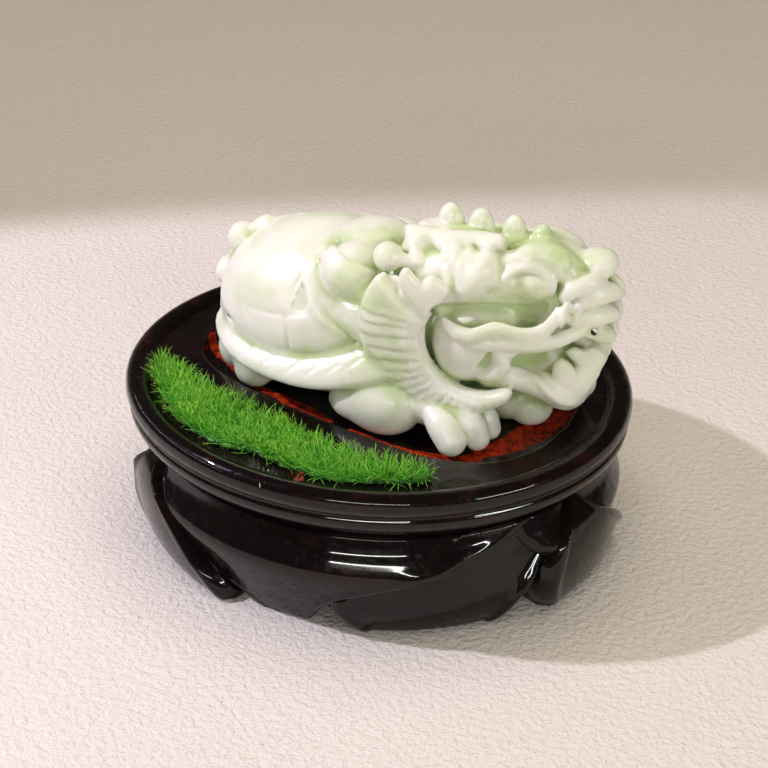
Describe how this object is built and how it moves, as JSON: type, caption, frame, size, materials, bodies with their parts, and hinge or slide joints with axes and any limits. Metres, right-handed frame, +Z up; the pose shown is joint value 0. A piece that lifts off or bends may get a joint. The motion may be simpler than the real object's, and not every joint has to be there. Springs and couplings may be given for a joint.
{
  "type": "jade dragon turtle carving on a stand",
  "caption": "Carved jade dragon turtle with ribbed cheek fans and domed shell, lying in the recess of an oval black lacquered stand with carved leaf feet and a patch of artificial grass.",
  "frame": {"origin": "on the floor under the middle of the oval stand", "axes": "+X along the stand's long axis toward the animal's head, +Y away from the grass patch, +Z up"},
  "size_m": [0.122, 0.11, 0.0852],
  "materials": {
    "jade": "polished pale green stone, slightly translucent",
    "lacquered_wood": "black gloss lacquer, red paint in the recess",
    "artificial_grass": "short green plastic fibres"
  },
  "bodies": {
    "root": {"dragon_turtle": "jade", "stand": "lacquered_wood", "grass_patch": "artificial_grass"}
  },
  "joints": []
}
